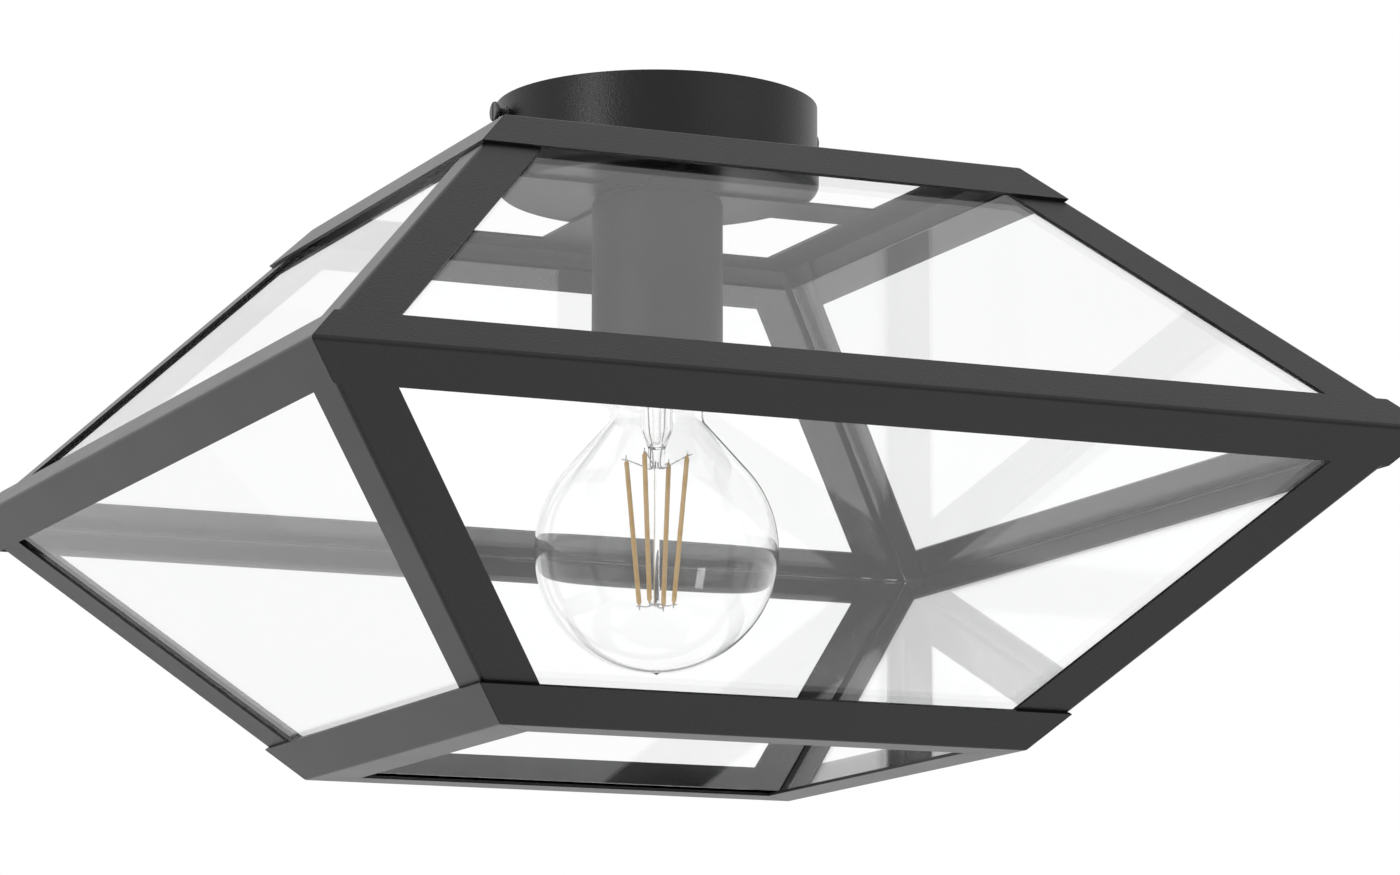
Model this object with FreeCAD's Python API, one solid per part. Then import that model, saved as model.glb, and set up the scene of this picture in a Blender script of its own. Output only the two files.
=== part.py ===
"""Square porch ceiling lantern: a folded sheet-steel cage glazed with eight panes, one globe lamp.

The lantern hangs from its ceiling face.  The origin is the centre of that face, +Z points up
into the ceiling, +X runs along the front rails and -Y is the front.  Millimetres throughout.

The cage is two square frustums joined at a wide middle ring.  All its sheet faces slope at 45
degrees, so a point on the outer face of the hip bars satisfies  half width + height = hip_apex,
with the height counted from the level of the ridge.  Three folded rings lap over the eight hip
bars, and the panes lie inside the bars.
"""
import FreeCAD, Part
import math
import os
from FreeCAD import Vector

# ---- cage ----------------------------------------------------------------------------------
hip_apex = 214.0              # half width where the outer faces of the hip bars would meet
cage_half_height = 111.0      # ridge level to the top face, and to the bottom face
sheet = 1.2                   # steel sheet of the cage
bend_inside = 0.5             # inside bend radius of the rings
hip_bend_inside = 1.2         # inside bend radius of the hip bars, which are folded softer
hip_flange = 18.0             # leg of a hip bar, from its fold
ridge_flange = 17.5           # legs of the middle ring
top_slope_flange = 19.5       # outer leg of the top ring
top_level_flange = 18.0       # inward leg of the top ring, which carries the cross plate
bottom_slope_flange = 18.0    # outer leg of the bottom ring
bottom_level_flange = 17.0    # inward leg of the bottom ring, around the open bottom
lap_gap = 0.1                 # paint film between a ring and the hip bars under it
mitre_gap = 0.2               # seam between two rails of a ring
hip_end_gap = 1.0             # a hip bar stops this far short of the ridge level
hip_top_gap = 0.4             # and this far short of a level flange

# ---- glazing -------------------------------------------------------------------------------
pane_thickness = 3.0
pane_bed = 0.1                # bedding between a pane and the hip bars
pane_side_inset = 4.0         # pane edge to the fold of the hip bar, along the pane
lower_pane_ridge_inset = 3.2  # top edge of a lower pane below the ridge, along the slope
pane_rest_gap = 0.3           # upper pane on lower pane, lower pane on the bottom ring
upper_pane_top_inset = 8.0    # top edge of an upper pane below the top fold, along the slope

# ---- canopy and ceiling bracket ------------------------------------------------------------
canopy_radius = 63.0
canopy_height = 36.0
canopy_wall = 1.0
canopy_edge_radius = 4.0      # drawn lower edge
bracket_width = 20.0
bracket_sheet = 1.5
bracket_ear = 14.0            # depth of the bent ears
bracket_bend_inside = 1.0
bracket_side_gap = 1.5        # ear to canopy wall on the centre line
slot_spacing = 72.0
slot_length = 16.0
slot_width = 5.0
earth_screw_x = 21.0

# ---- side screws ---------------------------------------------------------------------------
side_screw_radius = 1.95
side_screw_level = -7.6
side_screw_stand_off = 4.6    # head to canopy wall, as it hangs in use
side_head_radius = 4.0
side_head_thickness = 1.6
side_washer_radius = 3.2
side_washer_thickness = 0.6
side_screw_length = 13.0
side_screw_point_radius = 0.65
thread_play = 0.05            # screw in a tapped hole
hole_play = 0.35              # screw in a plain hole

# ---- cross plate, nipple and its nuts ------------------------------------------------------
cross_width = 27.0
nipple_radius = 4.95
nipple_bore = 3.6
nipple_stand = 2.2            # bare thread above the upper nut
nipple_end = 1.2              # nipple below the dome's ceiling
nut_flats = 14.0
nut_height = 4.4
washer_radius = 9.0
washer_thickness = 0.8
tag_thickness = 0.8
tag_tail = 16.0               # crimp end of the earth tag from the axis
tag_width = 5.0
tag_overlap = 1.5             # tail of the earth tag into its ring
stack_gap = 0.05              # between the pieces clamped on the nipple

# ---- sleeve and lamp holder ----------------------------------------------------------------
sleeve_radius = 25.5
sleeve_length = 75.0
sleeve_wall = 0.9
sleeve_top_radius = 3.5
holder_radius = 19.0
holder_drop = 4.8             # bare nipple between the lower nut and the holder's boss
socket_length = 26.4          # bore for the lamp cap
holder_seat_length = 6.4      # length of the wider bore that holds the insert
holder_shell_wall = 2.0
holder_rim_radius = 2.0       # rounding of the holder's lower rim
insert_thickness = 5.6
insert_gap = 0.2
holder_dome_height = 18.0
holder_dome_radius = 6.0      # rounding of the dome's shoulder
holder_boss_radius = 8.5
holder_boss_height = 10.0
contact_sheet = 0.4
contact_width = 5.0
contact_reach = 3.0           # centre tongue each side of the axis
side_contact_inset = 5.45     # side contact inside the edge of the insert
side_contact_depth = 2.6
side_contact_foot = 3.0

# ---- globe lamp ----------------------------------------------------------------------------
globe_radius = 47.2
globe_drop = 63.2             # centre of the globe below the rim of the screw cap
globe_wall = 0.8
neck_radius = 18.0
neck_length = 10.0            # straight neck below the rim of the screw cap
neck_fillet = 6.0             # where the neck turns out to the globe
neck_shoulder_radius = 3.0    # where the neck turns in to the screw cap
neck_end_rise = 0.4           # top of the neck above the rim of the screw cap
throat_length = 4.6           # narrow end of the glass inside the screw cap
throat_play = 0.15            # glass in the screw cap, on the radius
lamp_cap_radius = 13.15       # crest of the 27 mm screw cap
lamp_cap_wall = 0.35
lamp_cap_length = 20.5
lamp_cap_rim_gap = 2.8        # rim of the screw cap below the holder
lamp_cap_rim = 13.7
lamp_cap_band = 1.7           # height of the rolled rim
lamp_cap_band_low = 0.5       # rolled rim above the level where the neck starts
lamp_cap_band_step = 0.3
lamp_cap_cone = 2.0           # height of the coned top
lamp_cap_cone_radius = 1.0
cap_play = 0.1                # screw cap in the socket, on the radius
insulator_radius = 9.0
insulator_height = 3.0
insulator_edge = 0.2          # straight edge of the insulator above the screw cap
insulator_shelf = 0.6         # insulator beyond the tip
tip_radius = 4.6
tip_height = 1.8
stem_radius = 6.2
stem_rise = 4.0               # flared top of the stem above the rim of the screw cap
stem_flare_edge = 1.0         # thickness of its flared edge
stem_flare_height = 2.5
stem_taper = 6.0              # length over which it narrows to the pinch
stem_taper_radius = 6.0
stem_pinch_radius = 3.4
stem_pinch_drop = 27.0        # middle of the pinch below the rim of the screw cap
stem_pinch_height = 7.4
stem_pinch_edge = 0.9
stem_rod_radius = 1.1
stem_rod_end = 1.9            # centre rod past the lower end of the filaments
spoke_rise = 1.2              # upper spokes above the lower end of the pinch
lower_spoke_drop = 1.3        # lower spokes' hub past the lower end of the filaments
filament_top_drop = 27.6      # below the rim of the screw cap
filament_length_down = 55.6   # from its top to its bottom, measured down
filament_top_reach = 12.6     # from the axis
filament_bottom_reach = 7.2
filament_count = 4
filament_radius = 0.95
wire_radius = 0.3
pin_length = 1.9              # pin that stands on each end of a filament
pin_joint = 1.1               # where its spoke is welded on, from the end of the filament

# ---- terminal block and leads --------------------------------------------------------------
block_pole_pitch = 9.0
block_poles = 3
block_depth = 17.0
block_height = 9.0
block_tower_radius = 3.4
block_tower_height = 4.0
block_tower_offset = 4.6      # screw towers from the block's centre line
block_bore = 1.8
block_screw_radius = 1.9
block_screw_inset = 0.8       # heads of the block's screws inside their towers
driver_slot = 0.6
driver_slot_depth = 0.8
lead_radius = 0.95
lead_bend = 3.0
lead_spacing = 1.45           # leads from the axis, in the nipple
lead_clearance = 2.0          # straight run of a lead before its bends
lead_grip = 4.0               # end of a lead inside the block

# ---- derived levels ------------------------------------------------------------------------
slope = math.sqrt(0.5)        # rise and run of a unit step along a 45 degree face
ridge_level = -(canopy_height + cage_half_height)
ring_apex = hip_apex + (lap_gap + sheet) / slope
top_fold_half = ring_apex - cage_half_height
top_opening_half = top_fold_half - top_level_flange
bottom_opening_half = top_fold_half - bottom_level_flange
frame_top_level = -canopy_height
cross_bottom_level = frame_top_level - sheet
sleeve_top_level = cross_bottom_level - stack_gap
lower_nut_level = sleeve_top_level - sleeve_wall - stack_gap - nut_height
boss_top_level = lower_nut_level - holder_drop
dome_top_level = boss_top_level - holder_boss_height
insert_top_level = dome_top_level - holder_dome_height - stack_gap
socket_end_level = insert_top_level - holder_seat_length
holder_rim_level = socket_end_level - socket_length
cap_rim_level = holder_rim_level - lamp_cap_rim_gap
globe_level = cap_rim_level - globe_drop
pinch_level = cap_rim_level - stem_pinch_drop
filament_top_level = cap_rim_level - filament_top_drop
filament_bottom_level = filament_top_level - filament_length_down
cap_top_level = cap_rim_level + lamp_cap_length
tip_base_level = cap_top_level + insulator_height
canopy_floor_level = frame_top_level + canopy_wall
tag_level = canopy_floor_level + stack_gap
washer_level = tag_level + tag_thickness + stack_gap
upper_nut_level = washer_level + washer_thickness + stack_gap
nipple_top_level = upper_nut_level + nut_height + nipple_stand
nipple_low_level = dome_top_level - holder_shell_wall - nipple_end
bracket_reach = canopy_radius - canopy_wall - bracket_side_gap
block_half_width = block_poles * block_pole_pitch / 2
block_level = -bracket_sheet - stack_gap - block_height / 2

AXIS = Vector(0, 0, 1)
CENTRE = Vector(0, 0, 0)
SIDES = ("front", "right", "back", "left")
CORNERS = ("front_left", "front_right", "back_right", "back_left")


# ---- outline helpers -----------------------------------------------------------------------
def unit(vector):
    """A copy of the vector with length one."""
    return Vector(vector).normalize()


def rounded_edges(corners, closed):
    """Edges through (point, radius) corners; a corner with radius 0 stays sharp."""
    count = len(corners)
    spans = []
    for index, (point, radius) in enumerate(corners):
        if radius <= 0:
            spans.append((point, None, point))
            continue
        back = unit(corners[index - 1][0] - point)
        ahead = unit(corners[(index + 1) % count][0] - point)
        half_angle = back.getAngle(ahead) / 2
        reach = radius / math.tan(half_angle)
        inward = unit(back + ahead)
        middle = point + inward * (radius / math.sin(half_angle) - radius)
        spans.append((point + back * reach, middle, point + ahead * reach))
    edges = []
    for index, (start, middle, end) in enumerate(spans):
        if middle is not None:
            edges.append(Part.Arc(start, middle, end).toShape())
        last = index == count - 1
        if last and not closed:
            break
        following = spans[(index + 1) % count][0]
        if end.distanceToPoint(following) > 1e-6:
            edges.append(Part.LineSegment(end, following).toShape())
    return edges


def turned(corners):
    """A solid of revolution about Z from (radius, level, corner radius) triples."""
    outline = [(Vector(reach, 0, level), radius) for reach, level, radius in corners]
    face = Part.Face(Part.Wire(rounded_edges(outline, True)))
    return face.revolve(CENTRE, AXIS, 360)


def tube(outer, inner, low, high):
    """A plain ring or bush on the axis between two levels."""
    return turned([(inner, low, 0), (outer, low, 0), (outer, high, 0), (inner, high, 0)])


def rod(radius, start, end):
    """A round bar between two points."""
    run = end - start
    return Part.makeCylinder(radius, run.Length, start, run)


def block(low, high):
    """A box between two corner points given as triples."""
    size = [b - a for a, b in zip(low, high)]
    return Part.makeBox(size[0], size[1], size[2], Vector(*low))


def turned_copy(shape, quarter_turns):
    """The shape turned about Z by whole quarter turns."""
    copy = shape.copy()
    copy.rotate(CENTRE, AXIS, 90 * quarter_turns)
    return copy


# ---- folded sheet bars ---------------------------------------------------------------------
def folded_bar(tip_a, fold, tip_b, inside_radius, run):
    """Sheet folded once; tip_a, fold and tip_b lie on its outer face, run is the bar's length."""
    leg_a = unit(tip_a - fold)
    leg_b = unit(tip_b - fold)
    shared = leg_a.dot(leg_b)
    inward_a = unit(leg_b - leg_a * shared)
    inward_b = unit(leg_a - leg_b * shared)
    inner_fold = fold + (inward_a + inward_b) * (sheet / (1 + inward_a.dot(inward_b)))
    corners = [
        (tip_a, 0),
        (fold, inside_radius + sheet),
        (tip_b, 0),
        (tip_b + inward_b * sheet, 0),
        (inner_fold, inside_radius),
        (tip_a + inward_a * sheet, 0),
    ]
    return Part.Face(Part.Wire(rounded_edges(corners, True))).extrude(run)


def mitre_wedge():
    """The quarter of the plan that the front rails may fill, less half a seam at each end."""
    reach = 2 * ring_apex
    inset = mitre_gap * slope
    corners = [
        Vector(0, -inset, 2 * ridge_level),
        Vector(-reach, -reach - inset, 2 * ridge_level),
        Vector(reach, -reach - inset, 2 * ridge_level),
    ]
    return Part.Face(Part.makePolygon(corners + corners[:1])).extrude(Vector(0, 0, -2 * ridge_level))


def rail(tip_a, fold, tip_b):
    """A front rail from the (half width, height above the ridge) of its three section points."""
    start_x = -ring_apex
    points = [Vector(start_x, -half, ridge_level + height) for half, height in (tip_a, fold, tip_b)]
    bar = folded_bar(points[0], points[1], points[2], bend_inside, Vector(2 * ring_apex, 0, 0))
    return bar.common(mitre_wedge())


def end_rail(slope_flange, level_flange, upward):
    """Front rail of the top ring (upward 1) or of the bottom ring (upward -1)."""
    step = slope_flange * slope
    slope_tip = (top_fold_half + step, upward * (cage_half_height - step))
    fold = (top_fold_half, upward * cage_half_height)
    level_tip = (top_fold_half - level_flange, upward * cage_half_height)
    return rail(slope_tip, fold, level_tip)


def middle_rail():
    """Front rail of the middle ring, a V on its side with the ridge outward."""
    step = ridge_flange * slope
    return rail((ring_apex - step, step), (ring_apex, 0), (ring_apex - step, -step))


def hip_bar(upward):
    """Front left hip bar: folded along the hip, from the ridge up (1) or down (-1)."""
    start = Vector(-hip_apex, -hip_apex, ridge_level)
    hip = unit(Vector(1, 1, upward))
    leg_front = unit(Vector(1, 0, 0) - hip * hip.x)
    leg_left = unit(Vector(0, 1, 0) - hip * hip.y)
    fold = start - hip * hip_flange
    run = hip * (2 * cage_half_height * math.sqrt(3) / 2 + 2 * hip_flange)
    bar = folded_bar(fold + leg_front * hip_flange, fold, fold + leg_left * hip_flange, hip_bend_inside, run)
    near = ridge_level + upward * hip_end_gap
    far = ridge_level + upward * (cage_half_height - sheet - hip_top_gap)
    low = min(near, far)
    high = max(near, far)
    return bar.common(block((-hip_apex, -hip_apex, low), (0, 0, high)))


# ---- panes ---------------------------------------------------------------------------------
def pane(upward, near, far):
    """Front pane between two distances from the hip apex along the slope, upper (1) or lower (-1)."""
    inward = Vector(0, 1, -upward) * slope
    depth = sheet + pane_bed
    side_inset = pane_side_inset * math.sqrt(1.5)
    corners = []
    for distance, sign in ((near, -1), (near, 1), (far, 1), (far, -1)):
        half = hip_apex - distance * slope
        on_hip_face = Vector(sign * (half - side_inset), -half, ridge_level + upward * distance * slope)
        corners.append(on_hip_face + inward * depth)
    return Part.Face(Part.makePolygon(corners + corners[:1])).extrude(inward * pane_thickness)


def upper_pane():
    """Upper pane; its lower edge rests on the inner face of the lower pane."""
    near = sheet + pane_bed + pane_thickness + pane_rest_gap
    far = cage_half_height / slope - upper_pane_top_inset
    return pane(1, near, far)


def lower_pane():
    """Lower pane; its lower edge rests on the level flange of the bottom ring."""
    lowest = cage_half_height - sheet - pane_rest_gap
    far = lowest / slope + sheet + pane_bed
    return pane(-1, lower_pane_ridge_inset, far)


# ---- cross plate, canopy and bracket -------------------------------------------------------
def cross_plate():
    """Plus-shaped plate in the plane of the top ring, butted to its level flanges."""
    reach = top_opening_half - lap_gap
    half = cross_width / 2
    arm_x = block((-reach, -half, cross_bottom_level), (reach, half, frame_top_level - stack_gap))
    arm_y = block((-half, -reach, cross_bottom_level), (half, reach, frame_top_level - stack_gap))
    hole = rod(nipple_radius + hole_play, Vector(0, 0, cross_bottom_level - sheet), Vector(0, 0, 0))
    return arm_x.fuse(arm_y).removeSplitter().cut(hole)


def canopy():
    """Drawn round cup against the ceiling, with a nipple hole and two holes for the side screws."""
    inner = canopy_radius - canopy_wall
    hole = nipple_radius + hole_play
    cup = turned([
        (hole, frame_top_level, 0),
        (canopy_radius, frame_top_level, canopy_edge_radius),
        (canopy_radius, 0, 0),
        (inner, 0, 0),
        (inner, canopy_floor_level, canopy_edge_radius - canopy_wall),
        (hole, canopy_floor_level, 0),
    ])
    drill = rod(
        side_screw_radius + hole_play,
        Vector(-2 * canopy_radius, 0, side_screw_level),
        Vector(2 * canopy_radius, 0, side_screw_level),
    )
    return cup.cut(drill)


def slot(centre_x):
    """Cutter for one slot along X through the bracket."""
    reach = (slot_length - slot_width) / 2
    half = slot_width / 2
    deep = -3 * bracket_sheet
    bar = block((centre_x - reach, -half, deep), (centre_x + reach, half, bracket_sheet))
    for end in (-reach, reach):
        bar = bar.fuse(rod(half, Vector(centre_x + end, 0, deep), Vector(centre_x + end, 0, bracket_sheet)))
    return bar


def ceiling_bracket():
    """Strap against the ceiling with two slots; its bent ears take the side screws."""
    inner_reach = bracket_reach - bracket_sheet
    outer_bend = bracket_bend_inside + bracket_sheet
    outline = [
        (-bracket_reach, -bracket_ear, 0),
        (-bracket_reach, 0, outer_bend),
        (bracket_reach, 0, outer_bend),
        (bracket_reach, -bracket_ear, 0),
        (inner_reach, -bracket_ear, 0),
        (inner_reach, -bracket_sheet, bracket_bend_inside),
        (-inner_reach, -bracket_sheet, bracket_bend_inside),
        (-inner_reach, -bracket_ear, 0),
    ]
    corners = [(Vector(x, -bracket_width / 2, z), radius) for x, z, radius in outline]
    strap = Part.Face(Part.Wire(rounded_edges(corners, True))).extrude(Vector(0, bracket_width, 0))
    for centre_x in (-slot_spacing / 2, slot_spacing / 2):
        strap = strap.cut(slot(centre_x))
    tapped = rod(
        side_screw_radius + thread_play,
        Vector(-canopy_radius, 0, side_screw_level),
        Vector(canopy_radius, 0, side_screw_level),
    )
    earth_hole = rod(
        side_screw_radius + thread_play,
        Vector(earth_screw_x, 0, -3 * bracket_sheet),
        Vector(earth_screw_x, 0, bracket_sheet),
    )
    return strap.cut(tapped).cut(earth_hole)


def earth_screw():
    """Pan-head screw in the bracket for the supply's earth wire."""
    head_top = -bracket_sheet - stack_gap
    head = turned([
        (0, head_top - side_head_thickness, 0),
        (side_head_radius, head_top - side_head_thickness, side_head_thickness / 2),
        (side_head_radius, head_top, 0),
        (0, head_top, 0),
    ])
    shank = rod(side_screw_radius, Vector(0, 0, head_top), Vector(0, 0, -stack_gap))
    screw = head.fuse(shank).removeSplitter()
    screw.translate(Vector(earth_screw_x, 0, 0))
    return screw


# ---- side screws ---------------------------------------------------------------------------
def side_screw(direction):
    """Round-headed side screw, direction -1 at -X and 1 at +X."""
    head_inner = canopy_radius + side_screw_stand_off
    profile = turned([
        (0, head_inner - side_screw_length, 0),
        (side_screw_radius, head_inner - side_screw_length, side_screw_point_radius),
        (side_screw_radius, head_inner, 0),
        (side_head_radius, head_inner, 0),
        (side_head_radius, head_inner + side_head_thickness, side_head_thickness / 2),
        (0, head_inner + side_head_thickness, 0),
    ])
    profile.rotate(CENTRE, Vector(0, 1, 0), 90 * direction)
    profile.translate(Vector(0, 0, side_screw_level))
    return profile


def side_washer(direction):
    """Captive washer under the head of a side screw."""
    outer_face = canopy_radius + side_screw_stand_off - stack_gap
    ring = tube(
        side_washer_radius,
        side_screw_radius + thread_play,
        outer_face - side_washer_thickness,
        outer_face,
    )
    ring.rotate(CENTRE, Vector(0, 1, 0), 90 * direction)
    ring.translate(Vector(0, 0, side_screw_level))
    return ring


# ---- nipple and what it clamps -------------------------------------------------------------
def nipple():
    """Threaded tube that carries the lamp holder and lets the leads through."""
    return tube(nipple_radius, nipple_bore, nipple_low_level, nipple_top_level)


def nut(level):
    """Hexagon nut on the nipple, its lower face at the level."""
    corner_radius = nut_flats / math.sqrt(3)
    points = []
    for corner in range(6):
        angle = math.radians(60 * corner)
        points.append(Vector(corner_radius * math.cos(angle), corner_radius * math.sin(angle), level))
    body = Part.Face(Part.makePolygon(points + points[:1])).extrude(Vector(0, 0, nut_height))
    below = Vector(0, 0, level - nut_height)
    above = Vector(0, 0, level + 2 * nut_height)
    hole = rod(nipple_radius + thread_play, below, above)
    return body.cut(hole)


def lock_washer():
    """Washer under the upper nut."""
    return tube(washer_radius, nipple_radius + thread_play, washer_level, washer_level + washer_thickness)


def earth_tag():
    """Ring tag under the washer; its tail takes the earth lead."""
    ring = tube(washer_radius, nipple_radius + thread_play, tag_level, tag_level + tag_thickness)
    tail = block(
        (-tag_width / 2, -tag_tail, tag_level),
        (tag_width / 2, -washer_radius + tag_overlap, tag_level + tag_thickness),
    )
    barrel = rod(
        tag_width / 2,
        Vector(0, -tag_tail + tag_width / 2, tag_level),
        Vector(0, -tag_tail + tag_width / 2, tag_level + tag_width),
    )
    return ring.fuse(tail).fuse(barrel).removeSplitter()


# ---- sleeve and lamp holder ----------------------------------------------------------------
def sleeve():
    """Inverted cup that hides the lamp holder, with a rounded top edge."""
    hole = nipple_radius + hole_play
    low = sleeve_top_level - sleeve_length
    inner = sleeve_radius - sleeve_wall
    return turned([
        (hole, sleeve_top_level, 0),
        (sleeve_radius, sleeve_top_level, sleeve_top_radius),
        (sleeve_radius, low, 0),
        (inner, low, 0),
        (inner, sleeve_top_level - sleeve_wall, sleeve_top_radius - sleeve_wall),
        (hole, sleeve_top_level - sleeve_wall, 0),
    ])


def holder_shell():
    """Lower shell of the lamp holder: a screw socket below, a wider seat for the insert above."""
    socket = lamp_cap_radius + cap_play
    seat = holder_radius - holder_shell_wall
    return turned([
        (socket, holder_rim_level, 0),
        (holder_radius, holder_rim_level, holder_rim_radius),
        (holder_radius, insert_top_level, 0),
        (seat, insert_top_level, 0),
        (seat, socket_end_level, 0),
        (socket, socket_end_level, 0),
    ])


def holder_insert():
    """Ceramic disc that carries the contacts, with two holes for the leads."""
    radius = holder_radius - holder_shell_wall - insert_gap
    low = socket_end_level + insert_gap
    disc = turned([
        (0, low, 0),
        (radius, low, 0),
        (radius, low + insert_thickness, 0),
        (0, low + insert_thickness, 0),
    ])
    for side in (-1, 1):
        centre = Vector(side * lead_spacing, 0, low + insert_thickness / 2)
        disc = disc.cut(rod(lead_radius + thread_play, centre, centre + AXIS * insert_thickness))
    return disc


def holder_dome():
    """Upper shell of the lamp holder, with the boss that screws onto the nipple."""
    low = insert_top_level + stack_gap
    bore = nipple_radius + thread_play
    inner = holder_radius - holder_shell_wall
    return turned([
        (inner, low, 0),
        (holder_radius, low, 0),
        (holder_radius, dome_top_level, holder_dome_radius),
        (holder_boss_radius, dome_top_level, 0),
        (holder_boss_radius, boss_top_level, 0),
        (bore, boss_top_level, 0),
        (bore, dome_top_level - holder_shell_wall, 0),
        (inner, dome_top_level - holder_shell_wall, holder_dome_radius - holder_shell_wall),
    ])


def centre_contact():
    """Sprung tongue that presses on the tip of the lamp."""
    face_level = tip_base_level + tip_height + insert_gap
    base_level = socket_end_level + insert_gap
    half = contact_width / 2
    tongue = block((-contact_reach, -half, face_level), (contact_reach, half, face_level + contact_sheet))
    post = block(
        (contact_reach, -half, face_level),
        (contact_reach + contact_sheet, half, base_level - stack_gap),
    )
    return tongue.fuse(post).removeSplitter()


def side_contact():
    """Contact spring beside the mouth of the cap, fixed under the insert."""
    base_level = socket_end_level + insert_gap - stack_gap
    reach = holder_radius - holder_shell_wall - side_contact_inset
    half = contact_width / 2
    strip_low = base_level - side_contact_depth
    foot_low = base_level - contact_sheet
    strip = block((-reach - contact_sheet, -half, strip_low), (-reach, half, base_level))
    foot = block((-reach, -half, foot_low), (-reach + side_contact_foot, half, base_level))
    return strip.fuse(foot).removeSplitter()


# ---- globe lamp ----------------------------------------------------------------------------
def globe_curve(offset):
    """Meridian of the globe and neck, offset inward: sphere, straight flank and fillet to the neck."""
    sphere = globe_radius - offset
    neck = neck_radius - offset
    fillet = neck_fillet + offset
    centre = AXIS * globe_level
    turn = Vector(neck + fillet, 0, cap_rim_level - neck_length)
    between = turn - centre
    lean = math.acos((sphere + fillet) / between.Length)
    bearing = math.atan2(between.z, between.x) - lean
    outward = Vector(math.cos(bearing), 0, math.sin(bearing))
    shoulder = centre + outward * sphere
    flank_top = turn - outward * fillet
    neck_low = Vector(neck, 0, turn.z)
    pole = centre - AXIS * sphere
    belly = centre + Vector(sphere, 0, 0)
    fillet_middle = turn - unit(outward + Vector(1, 0, 0)) * fillet
    edges = [
        Part.Arc(pole, belly, shoulder).toShape(),
        Part.LineSegment(shoulder, flank_top).toShape(),
        Part.Arc(flank_top, fillet_middle, neck_low).toShape(),
    ]
    return edges, pole, neck_low


def bulb_glass():
    """Clear globe, one hollow wall of glass that runs up into the screw cap."""
    outer, outer_pole, outer_end = globe_curve(0)
    inner, inner_pole, inner_end = globe_curve(globe_wall)
    shoulder_level = cap_rim_level + neck_end_rise
    inner_neck_radius = neck_radius - globe_wall
    inner_shoulder_radius = neck_shoulder_radius - globe_wall
    throat = lamp_cap_radius - lamp_cap_wall - throat_play
    top_level = shoulder_level + throat_length
    outer_throat = Vector(throat, 0, top_level)
    inner_throat = Vector(throat - globe_wall, 0, top_level)
    outer_neck = rounded_edges([
        (outer_end, 0),
        (Vector(neck_radius, 0, shoulder_level), neck_shoulder_radius),
        (Vector(throat, 0, shoulder_level), 0),
        (outer_throat, 0),
    ], False)
    inner_neck = rounded_edges([
        (inner_throat, 0),
        (Vector(throat - globe_wall, 0, shoulder_level - globe_wall), 0),
        (Vector(inner_neck_radius, 0, shoulder_level - globe_wall), inner_shoulder_radius),
        (inner_end, 0),
    ], False)
    lip = Part.LineSegment(outer_throat, inner_throat).toShape()
    core = Part.LineSegment(inner_pole, outer_pole).toShape()
    loop = Part.Wire(Part.__sortEdges__(outer + outer_neck + [lip] + inner_neck + inner + [core]))
    return Part.Face(loop).revolve(CENTRE, AXIS, 360)


def bulb_cap():
    """Screw cap of the lamp with a rolled lower rim and a coned top."""
    inner = lamp_cap_radius - lamp_cap_wall
    band_low = cap_rim_level + lamp_cap_band_low
    band_high = band_low + lamp_cap_band
    cone_low = cap_top_level - lamp_cap_cone
    return turned([
        (inner, band_low, 0),
        (lamp_cap_rim, band_low, 0),
        (lamp_cap_rim, band_high, 0),
        (lamp_cap_radius, band_high + lamp_cap_band_step, 0),
        (lamp_cap_radius, cone_low, lamp_cap_cone_radius),
        (insulator_radius, cap_top_level, 0),
        (insulator_radius - lamp_cap_wall, cap_top_level, 0),
        (insulator_radius - lamp_cap_wall, cap_top_level - lamp_cap_wall, 0),
        (inner, cone_low - lamp_cap_wall, 0),
    ])


def bulb_insulator():
    """Black glass cone between the screw cap and the tip."""
    foot = insulator_radius - lamp_cap_wall - stack_gap
    return turned([
        (0, cap_top_level - lamp_cap_wall, 0),
        (foot, cap_top_level - lamp_cap_wall, 0),
        (foot, cap_top_level + insulator_edge, 0),
        (tip_radius + insulator_shelf, tip_base_level - stack_gap, 0),
        (0, tip_base_level - stack_gap, 0),
    ])


def bulb_tip():
    """Round soldered contact at the top of the lamp."""
    return turned([
        (0, tip_base_level, 0),
        (tip_radius, tip_base_level, 0),
        (tip_radius, tip_base_level + tip_height, tip_height * 0.9),
        (0, tip_base_level + tip_height, 0),
    ])


def glass_stem():
    """Flared glass mount, pinched where the wires pass, with its centre rod."""
    pinch_low = pinch_level - stem_pinch_height / 2
    pinch_high = pinch_low + stem_pinch_height
    top = cap_rim_level + stem_rise
    rod_end = filament_bottom_level - stem_rod_end
    throat = lamp_cap_radius - lamp_cap_wall - throat_play - globe_wall - stack_gap
    return turned([
        (0, rod_end, 0),
        (stem_rod_radius, rod_end, stem_rod_radius / 2),
        (stem_rod_radius, pinch_low, 0),
        (stem_pinch_radius, pinch_low, stem_pinch_edge),
        (stem_pinch_radius, pinch_high, 0),
        (stem_radius, pinch_high + stem_taper, stem_taper_radius),
        (stem_radius, top - stem_flare_height, 0),
        (throat, top - stem_flare_edge, 0),
        (throat, top, 0),
        (0, top, 0),
    ])


def filament_ends(index):
    """Top and bottom points of one filament."""
    angle = math.radians(360 / filament_count * (index + 0.5))
    radial = Vector(math.cos(angle), math.sin(angle), 0)
    top = radial * filament_top_reach + AXIS * filament_top_level
    bottom = radial * filament_bottom_reach + AXIS * filament_bottom_level
    return top, bottom


def filaments():
    """The light-emitting strips, leaning outward towards the top."""
    strips = []
    for index in range(filament_count):
        top, bottom = filament_ends(index)
        strips.append(rod(filament_radius, bottom, top))
    return Part.makeCompound(strips)


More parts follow.
